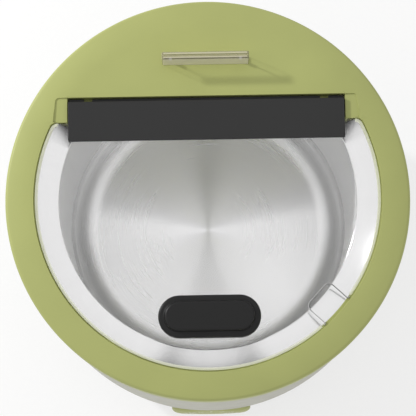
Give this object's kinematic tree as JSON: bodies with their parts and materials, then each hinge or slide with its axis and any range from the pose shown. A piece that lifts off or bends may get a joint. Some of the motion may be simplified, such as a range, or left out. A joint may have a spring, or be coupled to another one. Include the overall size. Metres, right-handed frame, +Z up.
{
  "type": "electric soup warmer",
  "caption": "Countertop soup warmer: a lift-out steel pot in a heated well, a lift-off frame with a hinged clear flap, a knob, a handle and a front temperature dial.",
  "frame": {"origin": "centre of the footprint, on the surface that the feet stand on", "axes": "+Z up; -Y to the front, where the dial and the knob are; +X to the right seen from the front"},
  "size_m": [0.35, 0.35, 0.346],
  "materials": {
    "green_plastic": "satin moulded plastic, olive green",
    "black_plastic": "fine matt texture, near black",
    "clear_plastic": "clear polycarbonate",
    "grey_casing": "satin, warm light grey",
    "grey_paint": "satin paint on sheet steel",
    "pale_plastic": "matt",
    "phenolic": "matt phenolic moulding",
    "amber_lens": "glossy lens",
    "silicone": "matt silicone",
    "foot_rubber": "matt",
    "lead_jacket": "silicone sleeve",
    "wool": "mineral wool felt",
    "brushed_steel": "turned brush marks on the floor, satin wall",
    "polished_steel": "polished stainless steel",
    "element_steel": "dull sheath",
    "screw_steel": "plated steel"
  },
  "bodies": {
    "casing": {"outer_body": "grey_casing", "inner_well": "brushed_steel", "insulation": "wool", "base_plate": "grey_paint", "foot_1": "foot_rubber", "foot_2": "foot_rubber", "foot_3": "foot_rubber", "foot_4": "foot_rubber", "foot_screw_1": "screw_steel", "foot_screw_2": "screw_steel", "foot_screw_3": "screw_steel", "foot_screw_4": "screw_steel", "base_screw_1": "screw_steel", "base_screw_2": "screw_steel", "base_screw_3": "screw_steel", "base_screw_4": "screw_steel", "thermostat": "phenolic", "thermostat_screw_left": "screw_steel", "thermostat_screw_right": "screw_steel", "pilot_lamp": "amber_lens", "lamp_nut": "screw_steel", "heating_element": "element_steel", "element_clamp": "screw_steel", "clamp_nut": "screw_steel", "thermal_cutout": "phenolic", "sensing_bulb": "element_steel", "terminal_block": "pale_plastic", "power_inlet": "black_plastic", "gland_nut": "black_plastic", "lead_supply": "lead_jacket", "lead_switched": "lead_jacket", "lead_cutout": "lead_jacket", "lead_return": "lead_jacket"},
    "pot": {"soup_pot": "brushed_steel"},
    "lid": {"lid_frame": "green_plastic", "frame_seal": "silicone", "frame_handle": "clear_plastic", "handle_screw_left": "screw_steel", "handle_screw_right": "screw_steel", "hinge_pin_left": "polished_steel", "hinge_pin_right": "polished_steel"},
    "flap": {"clear_lid": "clear_plastic", "hinge_bar": "black_plastic", "clamp_strip": "screw_steel", "bar_screw_1": "screw_steel", "bar_screw_2": "screw_steel", "bar_screw_3": "screw_steel", "bar_screw_4": "screw_steel", "lid_knob": "black_plastic", "knob_screw_left": "screw_steel", "knob_screw_right": "screw_steel"},
    "dial": {"temperature_dial": "green_plastic", "thermostat_shaft": "screw_steel"}
  },
  "joints": [
    {"name": "pot_lift", "type": "slide", "parent": "casing", "child": "pot", "axis": [0, 0, 1], "range_m": [0, 0.2]},
    {"name": "lid_lift", "type": "slide", "parent": "pot", "child": "lid", "axis": [0, 0, 1], "range_m": [0, 0.08]},
    {"name": "flap_hinge", "type": "hinge", "parent": "lid", "child": "flap", "pos_m": [0, 0.0834, 0.3218], "axis": [-1, 0, 0], "range_deg": [0, 97]},
    {"name": "dial_turn", "type": "hinge", "parent": "casing", "child": "dial", "pos_m": [0, -0.165, 0.058], "axis": [0, 1, 0], "range_deg": [0, 270]}
  ]
}
